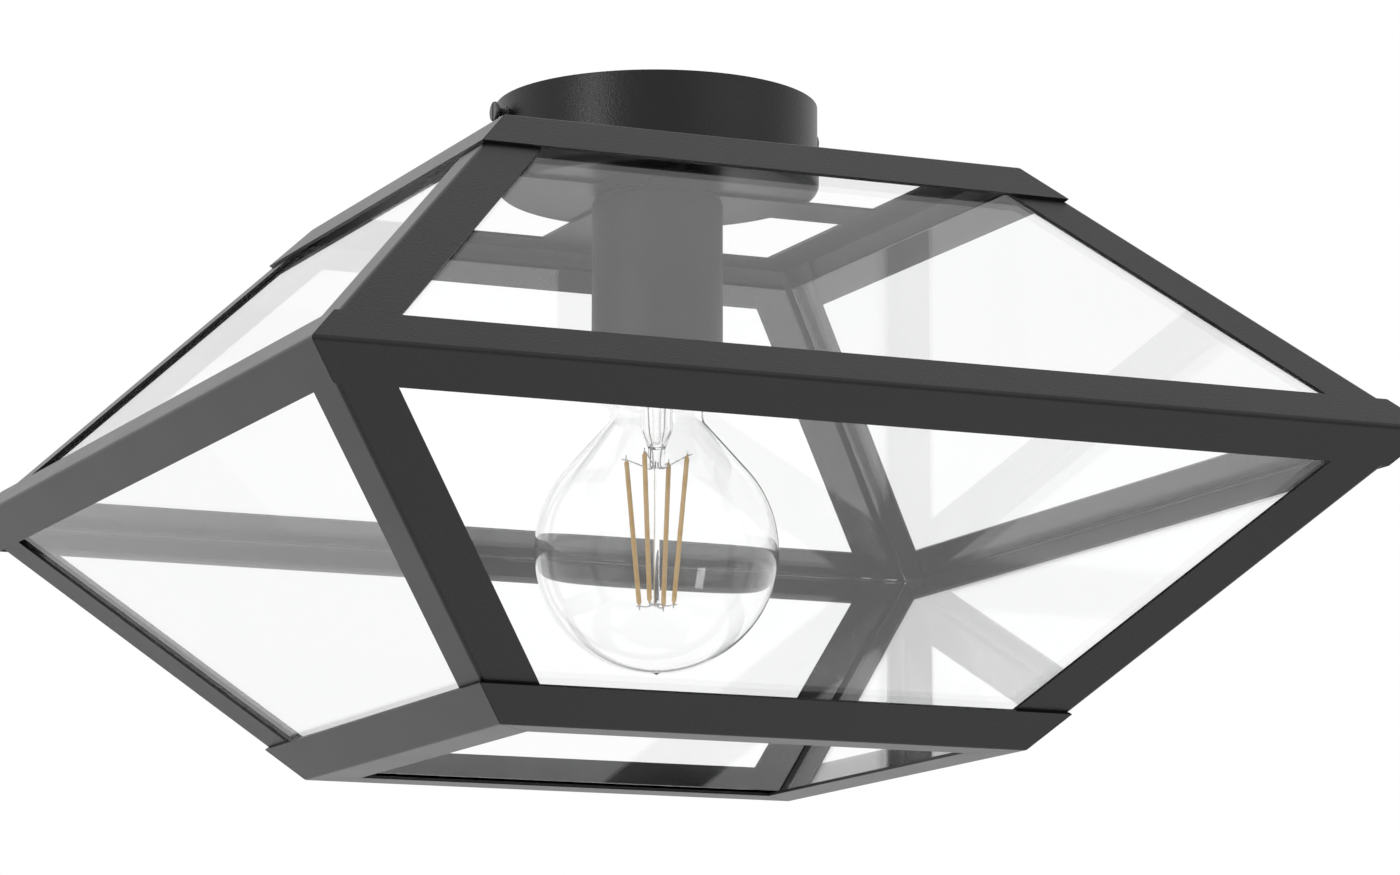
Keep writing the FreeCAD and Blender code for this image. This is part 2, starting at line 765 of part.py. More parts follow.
def filament_wires():
    """A pin on each end of each strip, with the spoke that carries it from the stem."""
    upper_level = pinch_level - stem_pinch_height / 2 + spoke_rise
    lower_level = filament_bottom_level - lower_spoke_drop
    upper_reach = stem_pinch_radius + stack_gap + wire_radius
    lower_reach = stem_rod_radius + stack_gap + wire_radius
    wires = []
    for index in range(filament_count):
        top, bottom = filament_ends(index)
        along = unit(top - bottom)
        radial = unit(Vector(top.x, top.y, 0))
        upper_hub = radial * upper_reach + AXIS * upper_level
        lower_hub = radial * lower_reach + AXIS * lower_level
        for hub, end, away in ((upper_hub, top, along), (lower_hub, bottom, -along)):
            pin = rod(wire_radius, end + away * stack_gap, end + away * pin_length)
            spoke = rod(wire_radius, hub, end + away * pin_joint)
            wires.append(pin.fuse(spoke))
    return Part.makeCompound(wires)


# ---- terminal block and leads --------------------------------------------------------------
def pole_x(index):
    """Centre of a pole of the terminal block."""
    return (index - (block_poles - 1) / 2) * block_pole_pitch


def tower_centres():
    """The plan positions of the block's screws."""
    return [
        (pole_x(index), side * block_tower_offset)
        for index in range(block_poles)
        for side in (-1, 1)
    ]


def terminal_block():
    """Three-pole block under the bracket: wire bores along Y, screw towers below."""
    high = block_level + block_height / 2
    low = block_level - block_height / 2
    body = block((-block_half_width, -block_depth / 2, low), (block_half_width, block_depth / 2, high))
    for x, y in tower_centres():
        body = body.fuse(rod(block_tower_radius, Vector(x, y, low - block_tower_height), Vector(x, y, high)))
    body = body.removeSplitter()
    for index in range(block_poles):
        front = Vector(pole_x(index), -block_depth, block_level)
        back = Vector(pole_x(index), block_depth, block_level)
        body = body.cut(rod(block_bore, front, back))
    for x, y in tower_centres():
        well_low = Vector(x, y, low - 2 * block_tower_height)
        well_high = Vector(x, y, block_level - block_bore)
        body = body.cut(rod(block_screw_radius + thread_play, well_low, well_high))
    return body


def terminal_screws():
    """The six clamping screws, each with a driver slot."""
    low = block_level - block_height / 2 - block_tower_height + block_screw_inset
    half_slot = driver_slot / 2
    high = block_level - block_bore
    screws = []
    for x, y in tower_centres():
        screw = rod(block_screw_radius, Vector(x, y, low), Vector(x, y, high))
        driver = block(
            (x - block_screw_radius, y - half_slot, low),
            (x + block_screw_radius, y + half_slot, low + driver_slot_depth),
        )
        screws.append(screw.cut(driver))
    return Part.makeCompound(screws)


def lead(points):
    """A round insulated lead along straight runs joined by bends."""
    corners = [(Vector(*point), lead_bend) for point in points]
    corners[0] = (corners[0][0], 0)
    corners[-1] = (corners[-1][0], 0)
    path = Part.Wire(rounded_edges(corners, False))
    section = Part.Wire(Part.makeCircle(lead_radius, corners[0][0], corners[1][0] - corners[0][0]))
    return path.makePipeShell([section], True, False)


def phase_lead(side):
    """Lead from the holder insert through the nipple to an outer pole, side -1 or 1."""
    start_level = socket_end_level + insert_gap + insert_thickness / 2 + stack_gap
    turn_level = nipple_top_level + lead_bend + lead_clearance
    front = -block_depth / 2 - 2 * lead_bend - lead_clearance
    pole = side * block_pole_pitch
    return lead([
        (side * lead_spacing, 0, start_level),
        (side * lead_spacing, 0, turn_level),
        (pole, front, turn_level),
        (pole, front, block_level),
        (pole, -block_depth / 2 + lead_grip, block_level),
    ])


def earth_lead():
    """Lead from the earth tag to the centre pole."""
    start = tag_level + tag_width + stack_gap
    front = -tag_tail + tag_width / 2
    return lead([
        (0, front, start),
        (0, front, block_level),
        (0, -block_depth / 2 + lead_grip, block_level),
    ])


# ---- build ---------------------------------------------------------------------------------
def cage_nodes():
    """Rails, hip bars and panes: one of each kind, turned to the four sides or corners."""
    rails = {
        "top_rail": end_rail(top_slope_flange, top_level_flange, 1),
        "middle_rail": middle_rail(),
        "bottom_rail": end_rail(bottom_slope_flange, bottom_level_flange, -1),
        "upper_pane": upper_pane(),
        "lower_pane": lower_pane(),
    }
    hips = {"upper_hip": hip_bar(1), "lower_hip": hip_bar(-1)}
    nodes = {}
    for names, shapes in ((SIDES, rails), (CORNERS, hips)):
        for kind, shape in shapes.items():
            for quarter, name in enumerate(names):
                nodes[kind + "_" + name] = turned_copy(shape, quarter)
    return nodes


def centre_nodes():
    """Everything on the axis: canopy, bracket, holder, lamp and wiring."""
    return {
        "cross_plate": cross_plate(),
        "canopy": canopy(),
        "ceiling_bracket": ceiling_bracket(),
        "earth_screw": earth_screw(),
        "side_screw_left": side_screw(-1),
        "side_screw_right": side_screw(1),
        "side_washer_left": side_washer(-1),
        "side_washer_right": side_washer(1),
        "nipple": nipple(),
        "upper_nut": nut(upper_nut_level),
        "lower_nut": nut(lower_nut_level),
        "lock_washer": lock_washer(),
        "earth_tag": earth_tag(),
        "sleeve": sleeve(),
        "holder_shell": holder_shell(),
        "holder_insert": holder_insert(),
        "holder_dome": holder_dome(),
        "centre_contact": centre_contact(),
        "side_contact": side_contact(),
        "bulb_glass": bulb_glass(),
        "bulb_cap": bulb_cap(),
        "bulb_insulator": bulb_insulator(),
        "bulb_tip": bulb_tip(),
        "glass_stem": glass_stem(),
        "filaments": filaments(),
        "filament_wires": filament_wires(),
        "terminal_block": terminal_block(),
        "terminal_screws": terminal_screws(),
        "lead_live": phase_lead(-1),
        "lead_neutral": phase_lead(1),
        "lead_earth": earth_lead(),
    }


def main():
    """Write one STEP file for each piece."""
    os.makedirs("parts", exist_ok=True)
    nodes = cage_nodes()
    nodes.update(centre_nodes())
    for name, shape in nodes.items():
        if not shape.isValid():
            raise ValueError(name + " is not a valid solid")
        shape.exportStep(os.path.join("parts", name + ".step"))
        print(f"{name:26s} solids {len(shape.Solids)}  volume {shape.Volume / 1000:9.2f} cm3")


if __name__ == "__main__":
    main()
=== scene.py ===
"""Looks of a square porch ceiling lantern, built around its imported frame.

The frame gives every node in metres, with the ceiling face at z = 0 and the front towards -Y.
Forms are worked out in millimetres and turned into metres when a piece is made.
"""

import math

import bmesh
import bpy
from bpy.props import FloatProperty, FloatVectorProperty, IntProperty, PointerProperty
from mathutils import Matrix, Vector


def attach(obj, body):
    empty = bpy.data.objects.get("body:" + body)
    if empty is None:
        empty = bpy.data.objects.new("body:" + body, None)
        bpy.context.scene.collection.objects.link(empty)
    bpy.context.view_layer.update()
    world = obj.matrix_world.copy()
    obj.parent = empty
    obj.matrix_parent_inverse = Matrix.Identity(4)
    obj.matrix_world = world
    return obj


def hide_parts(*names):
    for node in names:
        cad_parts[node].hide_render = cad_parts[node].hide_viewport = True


bl_info = {
    "name": "Porch ceiling lantern",
    "version": (1, 0, 0),
    "blender": (4, 5, 0),
    "location": "View3D > Sidebar > Lantern",
    "description": "Builds the visible pieces of a square porch ceiling lantern around its frame",
    "category": "Object",
}

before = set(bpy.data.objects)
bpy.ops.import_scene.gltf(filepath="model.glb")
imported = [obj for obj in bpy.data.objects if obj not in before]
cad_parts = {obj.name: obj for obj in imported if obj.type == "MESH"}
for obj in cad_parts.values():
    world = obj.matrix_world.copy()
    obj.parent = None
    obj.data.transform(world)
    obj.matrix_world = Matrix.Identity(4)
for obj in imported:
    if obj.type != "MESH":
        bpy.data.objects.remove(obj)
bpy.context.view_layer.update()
MM = 0.001
SIDES = ("front", "right", "back", "left")
CORNERS = ("front_left", "front_right", "back_right", "back_left")
FULL_TURN = 2 * math.pi
PANE_PLAY = 0.08 * MM  # keeps the panes' faces off those of the bars
NIL = 1e-6  # two lengths in millimetres closer than this are the same


# ---- node trees ------------------------------------------------------------------------------
class Value:
    """A number in a node tree; arithmetic on it adds Math nodes."""

    def __init__(self, tree, socket):
        self.tree = tree
        self.socket = socket

    def joined(self, operation, first, second):
        """One Math node on two numbers."""
        return self.tree.value("ShaderNodeMath", {"operation": operation}, {0: first, 1: second})

    def __add__(self, other):
        return self.joined("ADD", self, other)

    def __radd__(self, other):
        return self.joined("ADD", other, self)

    def __mul__(self, other):
        return self.joined("MULTIPLY", self, other)

    def __rmul__(self, other):
        return self.joined("MULTIPLY", other, self)

    def at_least(self, other):
        return self.joined("MAXIMUM", self, other)

    def at_most(self, other):
        return self.joined("MINIMUM", self, other)


class Tree:
    """The node tree of a material or of the world."""

    def __init__(self, owner):
        owner.use_nodes = True
        self.owner = owner
        self.links = owner.node_tree.links
        self.nodes = owner.node_tree.nodes
        self.nodes.clear()

    def feed(self, socket, item):
        """Set a socket to a constant, or link it to a value."""
        if isinstance(item, Value):
            self.links.new(item.socket, socket)
        else:
            socket.default_value = item

    def node(self, kind, settings=None, inputs=None):
        """Add one node: its settings first, then its constants and links."""
        made = self.nodes.new(kind)
        for name, setting in (settings or {}).items():
            setattr(made, name, setting)
        for name, item in (inputs or {}).items():
            self.feed(made.inputs[name], item)
        return made

    def value(self, kind, settings=None, inputs=None, output=0):
        """Add one node and return one of its outputs."""
        return Value(self, self.node(kind, settings, inputs).outputs[output])


def rgba(colour):
    """A four-number colour from a grey or from three numbers."""
    if isinstance(colour, (int, float)):
        return (colour, colour, colour, 1.0)
    return (*colour, 1.0)


def grey(tree, level):
    """A grey of a level that varies."""
    return tree.value("ShaderNodeCombineColor", None, {"Red": level, "Green": level, "Blue": level})


# ---- settings --------------------------------------------------------------------------------
def length(name, description, millimetres):
    """A length setting."""
    return FloatProperty(
        name=name, description=description, default=millimetres * MM, unit="LENGTH",
    )


def share(name, description, default):
    """A setting between 0 and 1."""
    return FloatProperty(name=name, description=description, default=default, min=0.0, max=1.0)


def refraction(name, description, default):
    """A refractive index setting."""
    return FloatProperty(name=name, description=description, default=default, min=1.0, max=2.0)


def tint(name, description, default):
    """A colour setting."""
    return FloatVectorProperty(
        name=name, description=description, subtype="COLOR", size=3, default=default,
        min=0.0, max=1.0,
    )


class CoatSettings(bpy.types.PropertyGroup):
    """The black powder coat."""

    colour: tint("Coat colour", "Base colour of the powder coat", (0.0045, 0.0046, 0.0049))
    roughness: share("Coat roughness", "Roughness of the powder coat", 0.34)
    sleeve_roughness: share("Sleeve roughness", "Roughness of the coat on the sleeve", 0.52)
    index: refraction("Coat index", "Refractive index of the powder coat", 1.36)
    grain: length("Grain size", "Width of one dimple of the orange-peel texture", 0.85)
    grain_depth: length("Grain depth", "Depth of the orange-peel texture", 0.24)


class GlassSettings(bpy.types.PropertyGroup):
    """The eight panes and the glass of the lamp."""

    pane_index: refraction("Pane index", "Refractive index of the panes", 1.42)
    lamp_index: refraction("Lamp index", "Refractive index of the lamp's glass", 1.29)
    arris: length("Arris", "Width of the ground arris along the panes' edges", 0.4)
    edge_colour: tint("Edge colour", "Tint of the panes' ground edges", (0.68, 0.80, 0.76))


class LampSettings(bpy.types.PropertyGroup):
    """Sizes of the globe lamp, its cap and its filaments."""

    globe: length("Globe radius", "Outer radius of the globe", 47.2)
    globe_level: length("Globe level", "Height of the centre of the globe", -174.25)
    wall: length("Glass wall", "Thickness of the globe", 0.7)
    neck: length("Neck radius", "Outer radius of the neck", 18.0)
    neck_low: length("Neck level", "Height where the neck turns out to the globe", -121.05)
    rim_level: length("Rim level", "Height where the glass enters the screw cap", -110.65)
    cap_radius: length("Cap radius", "Crest radius of the screw cap's thread", 13.15)
    cap_lead: length("Cap lead", "Rise of the screw cap in one turn", 3.629)
    cap_top: length("Cap top", "Height of the top of the screw cap", -90.55)
    pinch_low: length("Pinch low", "Height of the lower end of the stem's pinch", -141.75)
    pinch_high: length("Pinch high", "Height of the upper end of the stem's pinch", -134.35)
    strip_top: length("Filament top", "Height of the upper ends of the filaments", -138.65)
    strip_low: length("Filament bottom", "Height of the lower ends of the filaments", -194.25)
    strip_top_reach: length("Top reach", "Upper ends of the filaments from the axis", 12.6)
    strip_low_reach: length("Bottom reach", "Lower ends of the filaments from the axis", 7.2)
    strip_radius: length("Filament radius", "Radius of a coated filament strip", 0.95)
    strip_colour: tint("Filament colour", "Colour of the filaments' coating", (0.66, 0.40, 0.10))
    strips: IntProperty(
        name="Filaments", description="Number of filament strips", default=4, min=1, max=12,
    )


class StageSettings(bpy.types.PropertyGroup):
    """Camera, floor and light."""

    lens: FloatProperty(
        name="Lens", description="Focal length of the camera in millimetres", default=122.49,
        min=1.0,
    )
    place: FloatVectorProperty(
        name="Camera place", description="Where the camera stands", subtype="TRANSLATION",
        size=3, default=(-0.7171, -1.6682, -0.4510),
    )
    turn: FloatVectorProperty(
        name="Camera turn", description="Pitch, roll and yaw of the camera", subtype="EULER",
        size=3, default=(math.radians(100.01), 0.0, math.radians(-23.8)),
    )
    floor_level: FloatProperty(
        name="Floor level", description="Height of the floor below the ceiling face",
        default=-2.3, unit="LENGTH",
    )
    room: share("Room light", "Plain light from all round", 0.80)


# ---- finishes --------------------------------------------------------------------------------
FINISHES = {}


def finish(name, **constants):
    """A material with one Principled shader; constants are set on its sockets."""
    tree = Tree(bpy.data.materials.new(name))
    inputs = {}
    for key, item in constants.items():
        inputs[key.replace("_", " ").title().replace("Ior", "IOR")] = item
    tree.shader = tree.node("ShaderNodeBsdfPrincipled", None, inputs)
    tree.ending = tree.node("ShaderNodeOutputMaterial")
    tree.links.new(tree.shader.outputs[0], tree.ending.inputs["Surface"])
    FINISHES[name] = tree
    return tree


def place_of(tree):
    """Place on the object, in metres."""
    return tree.value("ShaderNodeTexCoord", output=3)


def noise(tree, scale, detail=2.0, rough=0.5):
    """Soft noise between 0 and 1."""
    return tree.value("ShaderNodeTexNoise", None, {
        "Vector": place_of(tree), "Scale": scale, "Detail": detail, "Roughness": rough,
    })


def bumped(tree, height, depth, strength):
    """Raise the surface by a height field."""
    bump = tree.value("ShaderNodeBump", None, {
        "Strength": strength, "Distance": depth, "Height": height,
    })
    tree.feed(tree.shader.inputs["Normal"], bump)


def powder_coat(name, settings, roughness):
    """Semi-matt black powder coat with a fine orange-peel texture."""
    tree = finish(name, base_color=rgba(settings.colour), ior=settings.index)
    peel = noise(tree, 1.0 / settings.grain, 1.5, 0.5)
    fine = noise(tree, 3.4 / settings.grain, 1.0, 0.5)
    broad = noise(tree, 38.0, 1.0)
    tree.feed(tree.shader.inputs["Roughness"], broad * 0.05 + peel * 0.05 + (roughness - 0.05))
    bumped(tree, peel + fine * 0.35, settings.grain_depth, 0.5)


def moulded(name, colour, roughness, grain, depth):
    """Moulded plastic or ceramic with a faint texture."""
    tree = finish(name, base_color=rgba(colour), ior=1.5)
    texture = noise(tree, 1.0 / grain, 2.0)
    tree.feed(tree.shader.inputs["Roughness"], texture * 0.08 + (roughness - 0.04))
    bumped(tree, texture, depth, 0.4)


def bare_metal(name, colour, roughness, scale):
    """Plated or bright metal whose sheen wanders a little."""
    tree = finish(name, base_color=rgba(colour), metallic=1.0)
    wander = noise(tree, scale, 3.0, 0.6)
    tree.feed(tree.shader.inputs["Roughness"], wander * 0.14 + (roughness - 0.07))


def let_through(tree, share_open, shade):
    """Let a share of the rays pass straight through, dimmed to a shade."""
    open_way = tree.node("ShaderNodeBsdfTransparent", None, {"Color": rgba(shade)})
    mix = tree.node("ShaderNodeMixShader", None, {"Fac": share_open})
    tree.links.new(tree.shader.outputs[0], mix.inputs[1])
    tree.links.new(open_way.outputs[0], mix.inputs[2])
    tree.links.new(mix.outputs[0], tree.ending.inputs["Surface"])


def clear_glass(name, index, colour, shade, roughness=0.0, clarity=1.0):
    """Clear glass that bends what is seen through it and lets soft light pass."""
    tree = finish(
        name, base_color=rgba(colour), roughness=roughness, ior=index, transmission_weight=clarity,
    )
    path = tree.node("ShaderNodeLightPath")
    shadow = Value(tree, path.outputs["Is Shadow Ray"])
    soft = Value(tree, path.outputs["Is Diffuse Ray"])
    let_through(tree, shadow.at_least(soft), shade)


def filament_coat(colour):
    """Amber silicone over a ceramic strip: slightly mottled along its length."""
    tree = finish("filament_coating", roughness=0.45, ior=1.42)
    dapple = noise(tree, 900.0, 2.0, 0.6)
    deep = [part * 0.82 for part in colour]
    pale = [min(1.0, part * 1.15) for part in colour]
    blend = {0: dapple, 6: rgba(deep), 7: rgba(pale)}
    mixed = tree.value("ShaderNodeMix", {"data_type": "RGBA"}, blend, 2)
    tree.feed(tree.shader.inputs["Base Color"], mixed)


def make_finishes(coat, glass, lamp):
    """Every finish of the lantern."""
    powder_coat("powder_coat", coat, coat.roughness)
    powder_coat("sleeve_coat", coat, coat.sleeve_roughness)
    clear_glass("pane_glass", glass.pane_index, (0.977, 0.981, 0.979), shade=0.93)
    clear_glass("pane_edge", glass.pane_index, glass.edge_colour, shade=0.7, roughness=0.22,
                clarity=0.45)
    clear_glass("lamp_glass", glass.lamp_index, (1.0, 1.0, 1.0), shade=0.95)
    bare_metal("zinc_steel", (0.62, 0.63, 0.64), roughness=0.34, scale=240.0)
    bare_metal("contact_brass", (0.78, 0.57, 0.26), roughness=0.28, scale=300.0)
    bare_metal("lamp_cap_metal", (0.74, 0.73, 0.70), roughness=0.24, scale=300.0)
    bare_metal("tip_solder", (0.58, 0.58, 0.59), roughness=0.36, scale=900.0)
    bare_metal("support_wire", (0.36, 0.36, 0.36), roughness=0.30, scale=900.0)
    finish("black_screw", base_color=rgba(0.012), roughness=0.3, ior=1.6)
    bare_metal("green_screw", (0.10, 0.42, 0.18), roughness=0.38, scale=600.0)
    moulded("black_moulding", 0.012, roughness=0.4, grain=0.4 * MM, depth=0.03 * MM)
    moulded("ceramic", (0.80, 0.78, 0.74), roughness=0.42, grain=0.8 * MM, depth=0.02 * MM)
    finish("cap_insulation", base_color=rgba(0.01), roughness=0.12, ior=1.55)
    filament_coat(lamp.strip_colour)
    plastic = {"grain": 0.6 * MM, "depth": 0.02 * MM}
    moulded("block_plastic", (0.80, 0.79, 0.74), roughness=0.5, **plastic)
    moulded("lead_black", 0.02, roughness=0.45, **plastic)
    moulded("lead_white", 0.75, roughness=0.45, **plastic)
    moulded("lead_green", (0.05, 0.30, 0.08), roughness=0.45, **plastic)


# ---- forms -----------------------------------------------------------------------------------
def mm(distance):
    """A setting in millimetres."""
    return distance / MM


def rounded(corners, closed=True, step=10.0):
    """Points through (x, y, radius) corners; an arc takes a point every few degrees."""
    points = []
    for index, (x, y, radius) in enumerate(corners):
        here = Vector((x, y))
        if radius <= 0 or (not closed and index in (0, len(corners) - 1)):
            points.append(here)
            continue
        back = (Vector(corners[index - 1][:2]) - here).normalized()
        ahead = (Vector(corners[(index + 1) % len(corners)][:2]) - here).normalized()
        half = back.angle(ahead) / 2
        centre = here + (back + ahead).normalized() * radius / math.sin(half)
        start = here + back * radius / math.tan(half) - centre
        side = math.copysign(1.0, back.x * ahead.y - back.y * ahead.x)
        sweep = -side * (math.pi - 2 * half)
        count = max(2, math.ceil(abs(math.degrees(sweep)) / step))
        for part in range(count + 1):
            points.append(centre + Matrix.Rotation(sweep * part / count, 2) @ start)
    return points


def arc(centre, radius, start, end, count):
    """Points along an arc between two angles in radians."""
    span = [start + (end - start) * part / count for part in range(count + 1)]
    return [centre + Vector((math.cos(angle), math.sin(angle))) * radius for angle in span]


def ladder(radius, low, high, count):
    """Points straight up a wall."""
    return [Vector((radius, low + (high - low) * part / count)) for part in range(count + 1)]


class Form:
    """Points and faces of one piece, in millimetres; each face has a mark for its finish."""

    def __init__(self):
        self.points = []
        self.faces = []
        self.marks = []

    def lathe(self, profile, segments=96, shape=None, closed=True, mark=0, place=Matrix()):
        """Turn (radius, level) points about Z; shape bends the radius at (radius, level, angle)."""
        rings = []
        for radius, level in profile:
            first = len(self.points)
            if radius < NIL:
                self.points.append(place @ Vector((0, 0, level)))
                rings.append([first] * segments)
                continue
            for part in range(segments):
                angle = FULL_TURN * part / segments
                reach = shape(radius, level, angle) if shape else radius
                point = Vector((reach * math.cos(angle), reach * math.sin(angle), level))
                self.points.append(place @ point)
            rings.append(list(range(first, first + segments)))
        followers = rings[1:] + rings[:1] if closed else rings[1:]
        for lower, upper in zip(rings, followers):
            for part in range(segments):
                after = (part + 1) % segments
                corners = [lower[part], lower[after], upper[after], upper[part]]
                corners = list(dict.fromkeys(corners))
                if len(corners) > 2:
                    self.faces.append(corners)
                    self.marks.append(mark)
        return self

    def box(self, low, high):
        """A block between two corners."""
        first = len(self.points)
        for x in (low[0], high[0]):
            for y in (low[1], high[1]):
                for z in (low[2], high[2]):
                    self.points.append(Vector((x, y, z)))
        for corners in (
            (0, 1, 3, 2), (4, 6, 7, 5), (0, 4, 5, 1), (2, 3, 7, 6), (0, 2, 6, 4), (1, 5, 7, 3),
        ):
            self.faces.append([first + corner for corner in corners])
            self.marks.append(0)
        return self

    def mesh(self, name):
        """A Blender mesh of the form in metres, with its normals outward."""
        mesh = bpy.data.meshes.new(name)
        mesh.from_pydata([point * MM for point in self.points], [], self.faces)
        mesh.polygons.foreach_set("material_index", self.marks)
        solid = bmesh.new()
        solid.from_mesh(mesh)
        bmesh.ops.recalc_face_normals(solid, faces=solid.faces)
        solid.to_mesh(mesh)
        solid.free()
        return mesh


def cut(mesh, tool):
    """The mesh less a form."""
    first = bpy.data.objects.new("cut_body", mesh)
    second = bpy.data.objects.new("cut_tool", tool.mesh("cut_tool"))
    for helper in (first, second):
        bpy.context.scene.collection.objects.link(helper)
    knife = first.modifiers.new("cut", "BOOLEAN")
    knife.operation = "DIFFERENCE"
    knife.object = second
    knife.solver = "EXACT"
    bpy.context.view_layer.update()
    carved = first.evaluated_get(bpy.context.evaluated_depsgraph_get())
    result = bpy.data.meshes.new_from_object(carved)
    for helper in (first, second):
        bpy.data.objects.remove(helper)
    return result


def shade(mesh, angle=32.0):
    """Smooth shading with edges sharper than the angle kept."""
    mesh.polygons.foreach_set("use_smooth", [True] * len(mesh.polygons))
    mesh.set_sharp_from_angle(angle=math.radians(angle))


def settle(shown, body, nodes):
    """Put a piece in the scene, on its body, in the place of any nodes that it stands for."""
    bpy.context.scene.collection.objects.link(shown)
    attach(shown, body)
    if nodes:
        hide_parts(*nodes)


def piece(name, mesh, finishes, slot, body, *nodes):
    """Show a mesh as a piece."""
    mesh.materials.clear()
    for key in finishes:
        mesh.materials.append(FINISHES[key].owner)
    settle(bpy.data.objects.new(name, mesh), body, nodes)


def formed(name, form, finishes, slot, body, *nodes, angle=32.0):
    """Show a form as a piece."""
    mesh = form.mesh(name)
    shade(mesh, angle)
    piece(name, mesh, finishes, slot, body, *nodes)


def wires(name, routes, radius, finish_name, slot, body, *nodes):
    """Show smooth round wires through control points in millimetres, all in one piece."""
    curve = bpy.data.curves.new(name, "CURVE")
    curve.dimensions = "3D"
    curve.bevel_depth = radius * MM
    curve.bevel_resolution = 3
    curve.use_fill_caps = True
    curve.resolution_u = 8
    for route in routes:
        spline = curve.splines.new("NURBS")
        spline.points.add(len(route) - 1)
        for point, target in zip(spline.points, route):
            point.co = (*(Vector(target) * MM), 1.0)
        spline.order_u = min(3, len(route))
        spline.use_endpoint_u = True
    curve.materials.append(FINISHES[finish_name].owner)
    settle(bpy.data.objects.new(name, curve), body, nodes)


def along(start, end):
    """Placement of a form whose Z runs from one point to another."""
    run = Vector(end) - Vector(start)
    return Matrix.Translation(Vector(start)) @ run.to_track_quat("Z", "Y").to_matrix().to_4x4()


def paint(node, name):
    """Give a node of the frame one finish."""
    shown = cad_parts[node]
    shown.data.materials.clear()
    shown.data.materials.append(FINISHES[name].owner)
    return shown


def soften(node, width, name):
    """Give a plain plate or block a finish and slightly rounded edges."""
    shown = paint(node, name)
    weld = shown.modifiers.new("weld", "WELD")
    weld.merge_threshold = 0.002 * MM
    bevel = shown.modifiers.new("edges", "BEVEL")
    bevel.width = width
    bevel.segments = 2
    bevel.limit_method = "ANGLE"
    bevel.angle_limit = math.radians(50)
    bevel.harden_normals = True


def thread(lead, depth, low, high, run_out=0.6):
    """Radius of a rounded right-hand thread below its crest, at (radius, level, angle)."""
    def shape(radius, level, angle):
        fade = max(0.0, min(1.0, (level - low) / run_out, (high - level) / run_out))
        wave = 0.5 - 0.5 * math.cos(FULL_TURN * level / lead - angle)
        return radius - depth * wave * fade
    return shape


# ---- cage and panes --------------------------------------------------------------------------
def coated():
    """Nodes of the folded cage."""
    bars = [kind + "_rail_" + side for kind in ("top", "middle", "bottom") for side in SIDES]
    bars += [kind + "_hip_" + corner for kind in ("upper", "lower") for corner in CORNERS]
    return bars + ["cross_plate"]


def pane(kind, side, glass):
    """A pane with a narrow ground arris round both of its faces."""
    node = kind + "_pane_" + side
    solid = bmesh.new()
    solid.from_mesh(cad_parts[node].data)
    bmesh.ops.remove_doubles(solid, verts=solid.verts, dist=0.01 * MM)
    bmesh.ops.dissolve_limit(
        solid, angle_limit=math.radians(2), verts=solid.verts, edges=solid.edges,
    )
    solid.normal_update()
    for corner in solid.verts:
        corner.co -= corner.normal * PANE_PLAY
    bmesh.ops.bevel(
        solid, geom=solid.edges, offset=glass.arris, segments=2, profile=0.6, affect="EDGES",
    )
    largest = max(face.calc_area() for face in solid.faces)
    for face in solid.faces:
        face.material_index = 0 if face.calc_area() > 0.5 * largest else 1
    bmesh.ops.recalc_face_normals(solid, faces=solid.faces)
    mesh = bpy.data.meshes.new(node + "_glass")
    solid.to_mesh(mesh)
    solid.free()
    shade(mesh, 20.0)
    piece(node + "_glass", mesh, ["pane_glass", "pane_edge"], "pane_glass", "lantern", node)


# ---- hardware --------------------------------------------------------------------------------
def slotted_screw(name, node, body, place, shank, head_radius, head_height, finish_name):
    """A pan-head screw with a driver slot and a thread; Z runs from its point to its head."""
    radius, pitch, depth = 1.95, 0.7, 0.36
    low, high = 0.6, shank - 0.6
    top = shank + head_height
    slot_half, slot_depth, past = 0.5, 0.85, 1.0
    profile = [Vector((0, 0)), Vector((radius - 0.7, 0))]
    profile += ladder(radius, low, high, max(8, int((high - low) / pitch * 6)))
    profile += rounded([
        (radius - 0.3, shank - 0.3, 0), (radius, shank, 0), (head_radius, shank, 0.2),
        (head_radius, top, 0.45), (0, top, 0),
    ], closed=False)
    grooves = thread(pitch, depth, low, high, 0.5)

    def shape(reach, level, angle):
        threaded = abs(reach - radius) < NIL and level < shank - 0.5
        return grooves(reach, level, angle) if threaded else reach

    body_mesh = Form().lathe(profile, 40, shape, closed=False).mesh(name)
    driver = Form().box(
        (-head_radius - past, -slot_half, top - slot_depth),
        (head_radius + past, slot_half, top + past),
    )
    mesh = cut(body_mesh, driver)
    mesh.transform(Matrix.Translation(Vector(place.translation) * MM) @ place.to_3x3().to_4x4())
    shade(mesh, 40.0)
    piece(name, mesh, [finish_name], finish_name, body, node)


def hexagon_nut(name, node, low):
    """A chamfered hexagon nut on the threaded tube."""
    flats, height, bore, chamfer = 7.0, 4.4, 5.0, 0.4
    top = low + height
    corner = flats / math.cos(math.radians(30))
    steps = (0, 0.15, 0.35, 0.6, 0.9)

    def shape(radius, level, angle):
        if radius < corner - 0.1:
            return radius
        flat = flats / math.cos((angle % (FULL_TURN / 6)) - FULL_TURN / 12)
        depth = min(level - low, top - level)
        return min(flat, flats - 0.1 + depth * 1.5)

    profile = [Vector((bore + chamfer, low)), *[Vector((corner, low + step)) for step in steps]]
    profile += [Vector((corner, top - step)) for step in reversed(steps)]
    profile += [Vector((bore + chamfer, top)), Vector((bore, top - chamfer))]
    profile.append(Vector((bore, low + chamfer)))
    formed(name, Form().lathe(profile, 96, shape), ["zinc_steel"], "zinc_steel", "lantern", node,
           angle=25.0)


